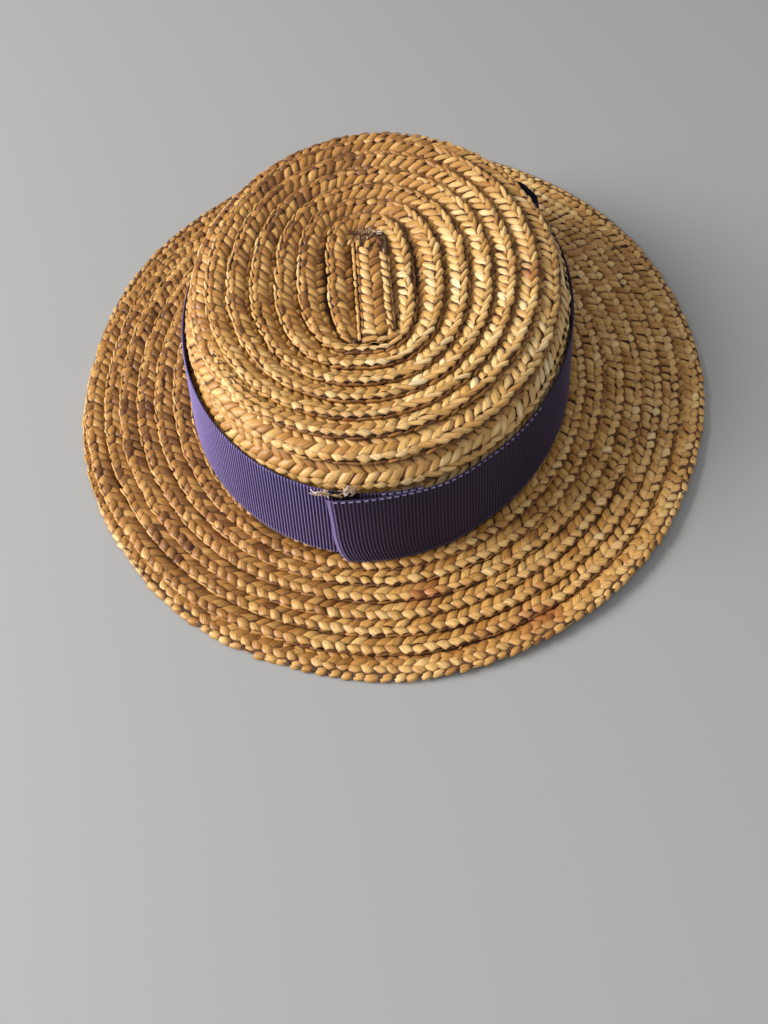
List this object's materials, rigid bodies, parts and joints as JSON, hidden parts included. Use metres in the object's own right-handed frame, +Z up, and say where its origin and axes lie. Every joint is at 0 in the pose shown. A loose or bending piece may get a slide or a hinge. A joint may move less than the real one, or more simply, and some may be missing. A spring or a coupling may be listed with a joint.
{
  "type": "plaited straw hat",
  "caption": "Low-crowned plaited straw hat with a flat oval brim and a purple grosgrain ribbon lapped at one end.",
  "frame": {"origin": "centre of the brim's outline, on the surface that the brim lies on", "axes": "+Z up through the crown, +Y along the hat's long axis away from the ribbon's lap, +X to the right of someone looking along +Y"},
  "size_m": [0.2688, 0.3058, 0.0582],
  "materials": {
    "straw": "golden plaited wheat straw with a soft gloss, darker in the gaps",
    "ribbon": "dull purple ribbed grosgrain"
  },
  "bodies": {
    "root": {"crown": "straw", "brim": "straw", "braid_start": "straw", "ribbon": "ribbon"}
  },
  "joints": []
}
